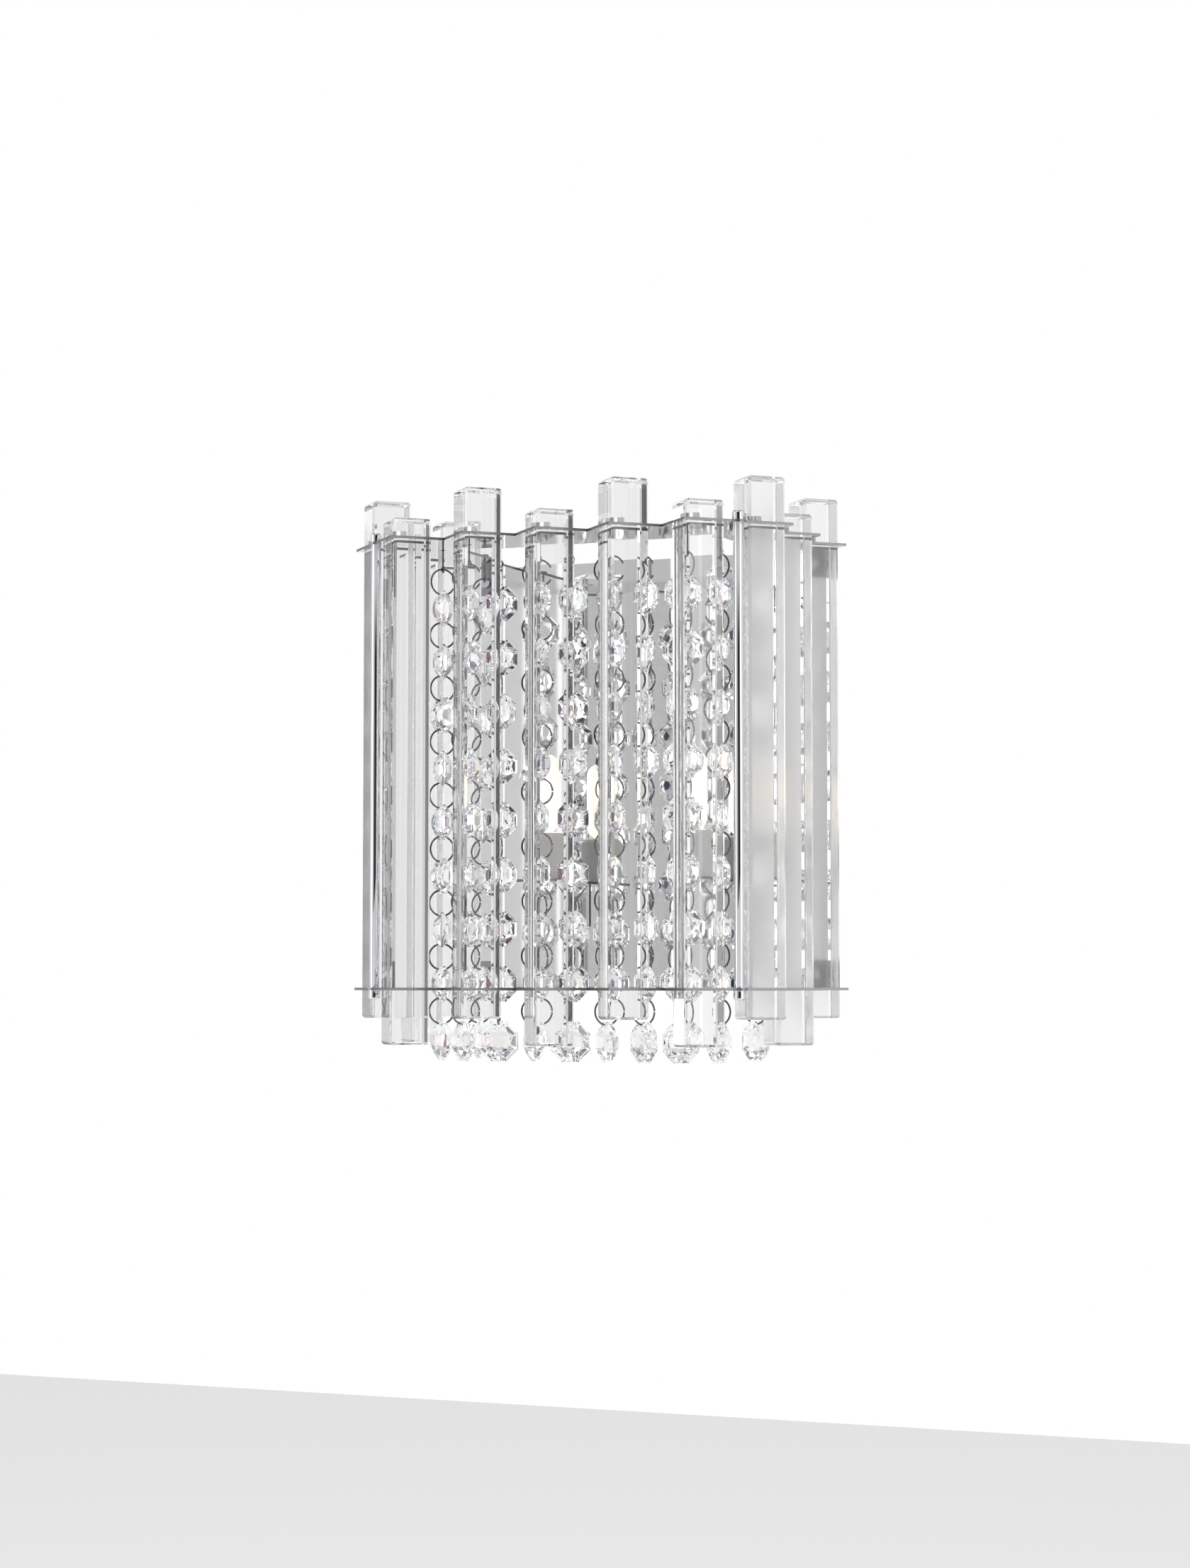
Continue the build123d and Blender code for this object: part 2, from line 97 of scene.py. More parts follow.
class StrandSettings(bpy.types.PropertyGroup):
    bead: FloatProperty(name="Bead", description="Bead across its flats, mm", default=16.6)
    bead_depth: FloatProperty(name="Bead depth", description="Thickness of a bead, mm", default=8.4)
    drop: FloatProperty(name="Drop", description="Last bead across its flats, mm", default=18.4)
    drop_depth: FloatProperty(name="Drop depth", description="Thickness of the last bead, mm", default=9.2)
    table: FloatProperty(name="Table", description="A bead's table as a share of its width", default=0.46)
    drop_table: FloatProperty(
        name="Drop table", description="The last bead's table as a share of its width", default=0.4)
    pitch: FloatProperty(name="Pitch", description="Bead to bead, mm", default=25.4)
    beads: IntProperty(name="Beads", description="Beads above the last one", default=8)
    twist: FloatProperty(
        name="Twist", description="Most that a bead has turned on its links", subtype="ANGLE",
        default=math.radians(18))
    wire: FloatProperty(name="Wire", description="Thickness of the link wire, mm", default=0.9)
    tint: FloatVectorProperty(
        name="Tint", description="Colour of the cut crystal", subtype="COLOR", size=4,
        default=hex_colour("#FCFCFC"))


class LampSettings(bpy.types.PropertyGroup):
    glow: FloatProperty(name="Glow", description="Brightness of a lit filament", default=60.0)
    colour: FloatVectorProperty(
        name="Light", description="Colour of the lamps' light", subtype="COLOR", size=4,
        default=hex_colour("#FFD9A0"))
    skin_glow: FloatProperty(
        name="Skin glow", description="Brightness of a lit lamp's frosted skin", default=0.2)
    skin: FloatVectorProperty(
        name="Skin", description="Colour of a lit lamp's skin", subtype="COLOR", size=4,
        default=hex_colour("#FFF6E8"))


class StageSettings(bpy.types.PropertyGroup):
    floor_drop: FloatProperty(name="Floor", description="Floor below the wall bracket, mm", default=750.0)
    wall: FloatProperty(name="Walls", description="Brightness of the room's walls", default=0.95)
    ceiling: FloatProperty(name="Ceiling", description="Brightness of the room's ceiling", default=0.2)


# ---- helpers ---------------------------------------------------------------


def put(tree, kind, sockets=None, **settings):
    """Adds a node with its settings, and its sockets' values or links."""
    made = tree.nodes.new(kind)
    for name, value in settings.items():
        setattr(made, name, value)
    for name, value in (sockets or {}).items():
        if isinstance(value, bpy.types.NodeSocket):
            tree.links.new(value, made.inputs[name])
        else:
            made.inputs[name].default_value = value
    return made


def finished(name, surface):
    """A material whose surface function gets the tree, and gives back the sockets of its shader."""
    made = bpy.data.materials.new(name)
    made.use_nodes = True
    tree = made.node_tree
    tree.nodes.clear()
    shader = put(tree, "ShaderNodeBsdfPrincipled", surface(tree))
    put(tree, "ShaderNodeOutputMaterial", {"Surface": shader.outputs["BSDF"]})
    return made


def grain(tree, size, detail=3.0, stretch=(1.0, 1.0, 1.0)):
    """Noise whose spots are about size millimetres wide, drawn out by stretch."""
    place = put(tree, "ShaderNodeTexCoord").outputs["Object"]
    drawn = put(tree, "ShaderNodeMapping", {"Vector": place, "Scale": stretch}).outputs["Vector"]
    sockets = {"Vector": drawn, "Scale": 1 / (size * MM), "Detail": detail}
    return put(tree, "ShaderNodeTexNoise", sockets).outputs["Fac"]


def mesh_piece(name, bm, material, smooth=False):
    """Turns a bmesh into an object at the origin, with one material."""
    mesh = bpy.data.meshes.new(name)
    bm.to_mesh(mesh)
    bm.free()
    mesh.materials.append(material)
    mesh.polygons.foreach_set("use_smooth", [smooth] * len(mesh.polygons))
    made = bpy.data.objects.new(name, mesh)
    bpy.context.scene.collection.objects.link(made)
    return made


def seated(piece, body, slot, *nodes):
    """The piece rides on its body and stands for its nodes, which it hides. Its slot is not used."""
    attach(piece, body)
    if nodes:
        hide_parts(*nodes)
    return piece


def dress(name, material):
    """Gives a node of the frame its finish."""
    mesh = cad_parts[name].data
    mesh.materials.clear()
    mesh.materials.append(material)


def middle(name):
    """The middle of a node's box."""
    low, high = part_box(name)
    return (low + high) / 2


def cap_holes(bm):
    """Closes every open rim of a bmesh."""
    bmesh.ops.holes_fill(bm, edges=[edge for edge in bm.edges if edge.is_boundary], sides=0)


# ---- finishes ----------------------------------------------------------------
# Grain too fine to show, such as hairlines, etching, frost, stripes and pores, is drawn coarser than
# it is, at 0.25 to 0.8 mm.


def bar_glass(settings):
    """Polished crown glass bar: clear, with the faint waviness of a drawn bar."""

    def surface(tree):
        waves = grain(tree, 22.0, detail=1.0, stretch=(1.0, 1.0, 0.15))
        return {
            "Base Color": settings.tint,
            "Roughness": 0.0,
            "IOR": 1.5,
            "Transmission Weight": 1.0,
            "Normal": put(tree, "ShaderNodeBump", {
                "Height": waves, "Distance": 0.012 * MM}).outputs["Normal"],
        }

    return finished("drawn_crown_glass", surface)


def etched_glass(settings):
    """The face that a side bar turns to the lamps, acid etched: satin, so that it softens their glare."""

    def surface(tree):
        bite = grain(tree, 0.4, detail=2.0)
        return {
            "Base Color": settings.tint,
            "Roughness": put(tree, "ShaderNodeMapRange", {
                "Value": bite, "To Min": 0.5, "To Max": 0.6}).outputs["Result"],
            "IOR": 1.5,
            "Transmission Weight": 1.0,
            "Normal": put(tree, "ShaderNodeBump", {
                "Height": bite, "Distance": 0.01 * MM}).outputs["Normal"],
        }

    return finished("etched_crown_glass", surface)


def cut_crystal(settings):
    """Lead crystal, ground and polished in flat facets: bright from its high index.

    A thin film gives a few facets their faint tints.
    """

    def surface(tree):
        polish = grain(tree, 3.0, detail=1.0)
        return {
            "Base Color": settings.tint,
            "Roughness": 0.0,
            "IOR": 1.7,
            "Transmission Weight": 1.0,
            "Thin Film Thickness": 280.0,
            "Thin Film IOR": 1.5,
            "Normal": put(tree, "ShaderNodeBump", {
                "Height": polish, "Distance": 0.002 * MM}).outputs["Normal"],
        }

    return finished("cut_lead_crystal", surface)


def mirror_steel(name, colour, roughness):
    """Stainless sheet, mirror polished: fine hairlines of the wheel soften its reflections a little."""

    def surface(tree):
        hairlines = grain(tree, 0.6, detail=4.0, stretch=(0.06, 1.0, 1.0))
        cloud = grain(tree, 30.0)
        return {
            "Base Color": hex_colour(colour),
            "Metallic": 1.0,
            "Roughness": put(tree, "ShaderNodeMapRange", {
                "Value": cloud, "To Min": roughness, "To Max": roughness + 0.03}).outputs["Result"],
            "Normal": put(tree, "ShaderNodeBump", {
                "Height": hairlines, "Distance": 0.0002 * MM}).outputs["Normal"],
        }

    return finished(name, surface)


def cut_edge():
    """Laser-cut edge of stainless sheet: striped across by the beam, dull and darker than its faces."""

    def surface(tree):
        stripes = grain(tree, 0.5, detail=2.0, stretch=(1.0, 1.0, 0.1))
        ramp = put(tree, "ShaderNodeValToRGB", {"Fac": stripes})
        ramp.color_ramp.elements[0].color = hex_colour("#727274")
        ramp.color_ramp.elements[1].color = hex_colour("#A0A0A2")
        return {
            "Base Color": ramp.outputs["Color"],
            "Metallic": 1.0,
            "Roughness": put(tree, "ShaderNodeMapRange", {
                "Value": stripes, "To Min": 0.35, "To Max": 0.5}).outputs["Result"],
            "Normal": put(tree, "ShaderNodeBump", {
                "Height": stripes, "Distance": 0.02 * MM}).outputs["Normal"],
        }

    return finished("laser_cut_edge", surface)


def chrome_plate():
    """Bright chromium plate on turned brass: nearly a mirror, a little cool."""

    def surface(tree):
        cloud = grain(tree, 8.0)
        wheel = grain(tree, 0.8)
        return {
            "Base Color": hex_colour("#DCDDE0"),
            "Metallic": 1.0,
            "Roughness": put(tree, "ShaderNodeMapRange", {
                "Value": cloud, "To Min": 0.02, "To Max": 0.06}).outputs["Result"],
            "Normal": put(tree, "ShaderNodeBump", {
                "Height": wheel, "Distance": 0.0004 * MM}).outputs["Normal"],
        }

    return finished("bright_chromium_plate", surface)


def link_wire():
    """Nickel-plated steel wire, drawn and bent: its colour is painted darker than nickel, as painted shade,
    so that it reads as a dark line.
    """

    def surface(tree):
        drawn = grain(tree, 0.5)
        return {
            # painted shade: the base colour is darker than nickel's own, so that the wire shows as a dark
            # line
            "Base Color": hex_colour("#6C6C70"),
            "Metallic": 1.0,
            "Roughness": put(tree, "ShaderNodeMapRange", {
                "Value": drawn, "To Min": 0.08, "To Max": 0.18}).outputs["Result"],
        }

    return finished("nickel_wire_painted_dark", surface)


def zinc_steel():
    """Pressed steel, zinc plated: a dull, slightly blue, spangled grey."""

    def surface(tree):
        place = put(tree, "ShaderNodeTexCoord").outputs["Object"]
        sockets = {"Vector": place, "Scale": 1 / (4.0 * MM)}
        spangle = put(tree, "ShaderNodeTexVoronoi", sockets).outputs["Distance"]
        matt = grain(tree, 1.2)
        return {
            "Base Color": hex_colour("#B4B7BA"),
            "Metallic": 1.0,
            "Roughness": put(tree, "ShaderNodeMapRange", {
                "Value": spangle, "To Min": 0.28, "To Max": 0.5}).outputs["Result"],
            "Normal": put(tree, "ShaderNodeBump", {
                "Height": matt, "Distance": 0.004 * MM}).outputs["Normal"],
        }

    return finished("zinc_plated_steel", surface)


def steatite():
    """Pressed and fired steatite: off-white ceramic with fine pores and a thin glaze."""

    def surface(tree):
        pores = grain(tree, 0.7, detail=5.0)
        ramp = put(tree, "ShaderNodeValToRGB", {"Fac": pores})
        ramp.color_ramp.elements[0].color = hex_colour("#F0EEE9")
        ramp.color_ramp.elements[1].color = hex_colour("#FDFCFA")
        return {
            "Base Color": ramp.outputs["Color"],
            "Roughness": put(tree, "ShaderNodeMapRange", {
                "Value": pores, "To Min": 0.3, "To Max": 0.55}).outputs["Result"],
            "Normal": put(tree, "ShaderNodeBump", {
                "Height": pores, "Distance": 0.03 * MM}).outputs["Normal"],
        }

    return finished("fired_steatite", surface)


def polyamide():
    """Moulded natural polyamide: milky, with a fine spark-eroded grain."""

    def surface(tree):
        polish = grain(tree, 0.5)
        spark = grain(tree, 0.25)
        return {
            "Base Color": hex_colour("#E6E4DA"),
            "Roughness": put(tree, "ShaderNodeMapRange", {
                "Value": polish, "To Min": 0.4, "To Max": 0.6}).outputs["Result"],
            "Subsurface Weight": 0.15,
            "Subsurface Scale": 2.0 * MM,
            "Normal": put(tree, "ShaderNodeBump", {
                "Height": spark, "Distance": 0.01 * MM}).outputs["Normal"],
        }

    return finished("moulded_polyamide", surface)


def quartz(settings):
    """Acid-frosted quartz of a lit capsule lamp: its whole skin glows a little from the filament."""

    def surface(tree):
        frost = grain(tree, 0.6)
        return {
            "Base Color": hex_colour("#FFFDF8"),
            "Roughness": put(tree, "ShaderNodeMapRange", {
                "Value": frost, "To Min": 0.15, "To Max": 0.25}).outputs["Result"],
            "IOR": 1.46,
            "Transmission Weight": 1.0,
            "Normal": put(tree, "ShaderNodeBump", {
                "Height": frost, "Distance": 0.01 * MM}).outputs["Normal"],
            "Emission Color": settings.skin,
            "Emission Strength": settings.skin_glow,
        }

    return finished("frosted_quartz", surface)


def lit_tungsten(settings):
    """Coiled tungsten at 2900 K: it glows warm white."""

    def surface(tree):
        drawn = grain(tree, 0.4)
        return {
            "Base Color": hex_colour("#3A3632"),
            "Metallic": 1.0,
            "Roughness": put(tree, "ShaderNodeMapRange", {
                "Value": drawn, "To Min": 0.4, "To Max": 0.6}).outputs["Result"],
            "Emission Color": settings.colour,
            "Emission Strength": settings.glow,
        }

    return finished("lit_tungsten", surface)


# ---- pieces ------------------------------------------------------------------


class SCONCE_OT_bars(bpy.types.Operator):
    """Glass bars with ground edges, each cut from its node's own outline"""

    bl_idname = "sconce.bars"
    bl_label = "Glass bars"

    LONG = 15.0      # only edges longer than this get softened, mm
    SHARP = 30.0     # least angle between the faces of an edge that gets softened, degrees
    FLAT = 1.0       # faces that meet at less than this are one, degrees
    SIDE = 3         # bars at either side
    FACING = 0.95    # least cosine between an etched face's normal and the way to the lamps

    def execute(self, context):
        settings = context.scene.sconce_bars
        glass = bar_glass(settings)
        satin = etched_glass(settings)
        for number, node in enumerate(BARS, start=1):
            bm = bmesh.new()
            bm.from_mesh(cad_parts[node].data)
            bmesh.ops.remove_doubles(bm, verts=bm.verts, dist=WELD * MM)
            bmesh.ops.dissolve_limit(
                bm, angle_limit=math.radians(self.FLAT), verts=bm.verts, edges=bm.edges)
            sharp = [
                edge for edge in bm.edges
                if edge.calc_length() > self.LONG * MM
                and edge.calc_face_angle(0) > math.radians(self.SHARP)
            ]
            bmesh.ops.bevel(
                bm, geom=sharp, offset=settings.edge * MM, offset_type="OFFSET", affect="EDGES",
                segments=2, profile=0.5, material=-1, clamp_overlap=True)
            piece = mesh_piece(f"bar_{number:02d}", bm, glass)
            if number <= self.SIDE or number > len(BARS) - self.SIDE:
                piece.data.materials.append(satin)
                inward = Vector((-math.copysign(1, middle(node).x), 1, 0)).normalized()
                for face in piece.data.polygons:
                    face.material_index = int(face.normal.dot(inward) > self.FACING)
            seated(piece, ROOT, "bar_glass", node)
        return {"FINISHED"}


def grind(bm, turn, outer, inner, side):
    """Grinds one facet: a plane through an outer and an inner place, given as radius and height."""
    out = Vector((math.cos(turn), 0, math.sin(turn)))
    up = Vector((0, side, 0))
    place = out * outer[0] + up * outer[1]
    normal = out * (inner[1] - outer[1]) + up * (outer[0] - inner[0])
    everything = bm.verts[:] + bm.edges[:] + bm.faces[:]
    cut = bmesh.ops.bisect_plane(bm, geom=everything, plane_co=place, plane_no=normal, clear_outer=True)
    rim = [part for part in cut["geom_cut"] if isinstance(part, bmesh.types.BMEdge)]
    if rim:
        bmesh.ops.contextual_create(bm, geom=rim)


def drilled(mesh, places):
    """The mesh with a bead's hole through it along Y at each place."""
    solid = bpy.data.objects.new("blank", mesh)
    bm = bmesh.new()
    for place in places:
        lie = Matrix.Translation(place) @ Matrix.Rotation(math.radians(90), 4, "X")
        bmesh.ops.create_cone(
            bm, segments=10, radius1=HOLE / 2 * MM, radius2=HOLE / 2 * MM, depth=DRILL * MM,
            cap_ends=True, matrix=lie)
    drill_mesh = bpy.data.meshes.new("drill")
    bm.to_mesh(drill_mesh)
    bm.free()
    drill = bpy.data.objects.new("drill", drill_mesh)
    for made in (solid, drill):
        bpy.context.scene.collection.objects.link(made)
    cut = solid.modifiers.new("holes", "BOOLEAN")
    cut.operation = "DIFFERENCE"
    cut.object = drill
    bpy.context.view_layer.update()
    depsgraph = bpy.context.evaluated_depsgraph_get()
    result = bpy.data.meshes.new_from_object(solid.evaluated_get(depsgraph))
    for made in (solid, drill):
        spent = made.data
        bpy.data.objects.remove(made)
        bpy.data.meshes.remove(spent)
    return result


def cut_bead(size, depth, table):
    """Octagonal bead facing -Y, cut like a brilliant: each side has a table and four rounds of facets."""
    flat = size / 2 * MM
    half = depth / 2 * MM
    half_side = math.pi / 8   # half the angle that each of the bead's eight sides takes up
    corner = flat / math.cos(half_side)
    # first facet's turn as a share of the step, facets, and the outer and inner place of a facet
    # as shares of the radius and of half the depth
    rounds = (
        (0.0, 8, (1.0, 0.16), (table, 0.98)),
        (0.5, 8, (1.075, 0.12), (0.62, 0.86)),
        (0.5, 16, (1.05, 0.14), (0.82, 0.52)),
        (0.5, 8, (table + 0.14, 0.82), (table - 0.06, 1.0)),
    )
    bm = bmesh.new()
    upright = Matrix.Rotation(math.radians(90), 4, "X") @ Matrix.Rotation(half_side, 4, "Z")
    bmesh.ops.create_cone(
        bm, segments=8, radius1=corner, radius2=corner, depth=2 * half, cap_ends=True, matrix=upright)
    for side in (-1, 1):
        for first, count, outer, inner in rounds:
            for number in range(count):
                turn = (first + number) * 2 * math.pi / count
                places = [(radius * flat, height * half) for radius, height in (outer, inner)]
                grind(bm, turn, *places, side)
    blank = bpy.data.meshes.new("bead")
    bm.to_mesh(blank)
    bm.free()
    reach = flat - HOLE_EDGE * MM
    return drilled(blank, [(0, 0, reach), (0, 0, -reach)])


class SCONCE_OT_crystals(bpy.types.Operator):
    """Strands of cut crystal beads, each strand one piece on its own body"""

    bl_idname = "sconce.crystals"
    bl_label = "Crystal strands"

    def execute(self, context):
        settings = context.scene.sconce_strands
        crystal = cut_crystal(settings)
        bead = cut_bead(settings.bead, settings.bead_depth, settings.table)
        drop = cut_bead(settings.drop, settings.drop_depth, settings.drop_table)
        for node in CRYSTALS:
            number = node[-2:]
            low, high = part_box(node)
            place = (low + high) / 2
            turn = strand_turn(number)
            top = high.z - NODE_BEAD / 2 * MM
            bm = bmesh.new()
            for step in range(settings.beads):
                height = top - step * settings.pitch * MM
                add_copy(bm, bead, (place.x, place.y, height), turn + twist(number, step, settings))
            add_copy(bm, drop, (place.x, place.y, low.z + settings.drop / 2 * MM), turn)
            piece = mesh_piece(f"crystal_strand_{number}", bm, crystal)
            seated(piece, f"strand_{number}", "cut_crystal", node)
        for mesh in (bead, drop):
            bpy.data.meshes.remove(mesh)
        return {"FINISHED"}


def strand_turn(number):
    """How far a free strand hangs turned, in radians."""
    return math.radians(STRAND_ANGLES[int(number) - 1])


def twist(number, step, settings):
    """How far a bead has turned on its links, away from its strand's own turn.

    The last bead and the one above it hang straight, clear of the bottom plate.
    """
    along, across = TWIST
    free = step < settings.beads - 1
    return settings.twist * math.sin(along * step + across * int(number)) if free else 0.0


def add_copy(bm, mesh, place, turn):
    """Adds a turned copy of a mesh to a bmesh."""
    before = len(bm.verts)
    bm.from_mesh(mesh)
    bm.verts.ensure_lookup_table()
    move = Matrix.Translation(place) @ Matrix.Rotation(turn, 4, "Z")
    bmesh.ops.transform(bm, matrix=move, verts=bm.verts[before:])


def wire_ring(radius, wire, gap, steps):
    """The mesh of a ring of round wire in the YZ plane, left open at one side by a gap in degrees."""
    opening = math.radians(gap)
    bm = bmesh.new()
    section = Matrix.Translation((0, radius, 0))
    bmesh.ops.create_circle(bm, segments=8, radius=wire / 2, matrix=section)
    bmesh.ops.spin(
        bm, geom=bm.edges[:] + bm.verts[:], cent=(0, 0, 0), axis=(1, 0, 0), angle=2 * math.pi - opening,
        steps=steps, use_merge=False, use_duplicate=False)
    cap_holes(bm)
    bmesh.ops.recalc_face_normals(bm, faces=bm.faces)
    bmesh.ops.rotate(bm, cent=(0, 0, 0), matrix=Matrix.Rotation(opening / 2, 3, "X"), verts=bm.verts)
    mesh = bpy.data.meshes.new("ring")
    bm.to_mesh(mesh)
    bm.free()
    return mesh


class SCONCE_OT_links(bpy.types.Operator):
    """Round wire links between the beads, and the hook that hangs each strand on the top plate"""

    bl_idname = "sconce.links"
    bl_label = "Links and hooks"

    HEAD = (4.0, 1.2)    # width and height of a hook's head, mm
    HEAD_ROUND = 0.45    # rounding of a head's rim, as a share of its height
    EYE = 1.0            # inner radius of a hook's eye, mm
    JOINT = 4            # degrees left open where a ring closes
    MOUTH = 55           # degrees left open in a strand's top ring, which is bent like a C
    EYE_MOUTH = 20       # degrees left open in a hook's eye
    RING_STEPS = 32      # straight runs round a ring
    EYE_STEPS = 18       # straight runs round an eye

    def execute(self, context):
        settings = context.scene.sconce_strands
        finish = link_wire()
        wire = settings.wire * MM
        ring_radius = (settings.pitch / 2 - NODE_BEAD / 2 + HOLE_EDGE) * MM
        eye_radius = (self.EYE + settings.wire / 2) * MM
        ring = wire_ring(ring_radius, wire, self.JOINT, self.RING_STEPS)
        top_ring = wire_ring(ring_radius, wire, self.MOUTH, self.RING_STEPS)
        eye = wire_ring(eye_radius, wire, self.EYE_MOUTH, self.EYE_STEPS)
        for node in LINKS:
            number = node[-2:]
            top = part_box(node)[1].z
            place = middle(f"crystals_{number}")
            turn = strand_turn(number)
            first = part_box(f"crystals_{number}")[1].z - NODE_BEAD / 2 * MM
            bm = bmesh.new()
            for step in range(settings.beads + 1):
                height = first + (0.5 - step) * settings.pitch * MM
                sway = (twist(number, step - 1, settings) + twist(number, step, settings)) / 2
                add_copy(bm, ring if step else top_ring, (place.x, place.y, height), turn + sway)
            eye_height = first + settings.pitch / 2 * MM + ring_radius
            add_copy(bm, eye, (place.x, place.y, eye_height), turn + math.radians(90))
            self.add_pin(bm, place, eye_height + self.EYE * MM, top, wire)
            piece = mesh_piece(f"link_strand_{number}", bm, finish, smooth=True)
            sharpen(piece)
            seated(piece, f"strand_{number}", "link_wire", node)
        for mesh in (ring, top_ring, eye):
            bpy.data.meshes.remove(mesh)
        return {"FINISHED"}

    def add_pin(self, bm, place, bottom, top, wire):
        """The shank of the hook and its round head."""
        width, height = (size * MM for size in self.HEAD)
        shank = Matrix.Translation((place.x, place.y, (bottom + top - height) / 2))
        bmesh.ops.create_cone(
            bm, segments=10, radius1=wire / 2, radius2=wire / 2, depth=top - height - bottom,
            cap_ends=True, matrix=shank)
        head_middle = top - height / 2
        bmesh.ops.create_cone(
            bm, segments=20, radius1=width / 2, radius2=width / 2, depth=height, cap_ends=True,
            matrix=Matrix.Translation((place.x, place.y, head_middle)))
        rim = [edge for edge in bm.edges if all(vert.co.z > head_middle for vert in edge.verts)]
        bmesh.ops.bevel(
            bm, geom=rim, offset=height * self.HEAD_ROUND, offset_type="OFFSET", affect="EDGES",
            segments=3, profile=0.5, material=-1, clamp_overlap=True)


def sharpen(piece, angle=40):
    """Keeps edges sharper than an angle crisp on a smooth mesh."""
    mesh = piece.data
    bm = bmesh.new()
    bm.from_mesh(mesh)
    for edge in bm.edges:
        edge.smooth = edge.calc_face_angle(0) < math.radians(angle)
    bm.to_mesh(mesh)
    bm.free()


class SCONCE_OT_plates(bpy.types.Operator):
    """Polished toothed plates, folded back plate, tie rods, nuts and bar stops"""

    bl_idname = "sconce.plates"
    bl_label = "Plates and rods"

    CUT_AREA = 60.0   # a plate's cut edges have no facet as large as this, mm2
    UPRIGHT = 0.5     # a cut edge's normal rises or falls by less than this
    FOLD = 0.45       # softened edge of the folded back plate, mm
    TURNED = 0.12     # softened edge of turned parts, mm
    CREASE = 40       # least angle between the faces of an edge that gets softened, degrees

    def execute(self, context):
        plate = mirror_steel("mirror_polished_plate", "#D9D9DB", 0.03)
        folded = mirror_steel("polished_folded_sheet", "#E2E2E3", 0.01)
        chrome = chrome_plate()
        edge = cut_edge()
        for node in ("top_plate", "bottom_plate", "lamp_brackets"):
            dress(node, plate)
            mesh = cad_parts[node].data
            mesh.materials.append(edge)
            for face in mesh.polygons:
                upright = abs(face.normal.z) < self.UPRIGHT
                face.material_index = int(upright and face.area < self.CUT_AREA * MM * MM)
        dress("back_plate", folded)
        self.round_off("back_plate", self.FOLD)
        for node in ("tie_rod_left", "tie_rod_right", "rod_nuts", "bar_stops", "cap_nuts"):
            dress(node, chrome)
            self.round_off(node, self.TURNED)
        return {"FINISHED"}

    def round_off(self, node, edge):
        """Softens a node's edges by a width in mm."""
        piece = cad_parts[node]
        weld = piece.modifiers.new("weld", "WELD")
        weld.merge_threshold = WELD * MM
        bevel = piece.modifiers.new("edge", "BEVEL")
        bevel.width = edge * MM
        bevel.segments = 2
        bevel.limit_method = "ANGLE"
        bevel.angle_limit = math.radians(self.CREASE)


class SCONCE_OT_fittings(bpy.types.Operator):
    """Wall bracket, studs, screws and terminal block"""

    bl_idname = "sconce.fittings"
    bl_label = "Fittings"

    def execute(self, context):
        zinc = zinc_steel()
        for node in ("wall_bracket", "bracket_studs", "plate_screws", "bracket_screws"):
            dress(node, zinc)
        dress("terminal_block", polyamide())
        return {"FINISHED"}


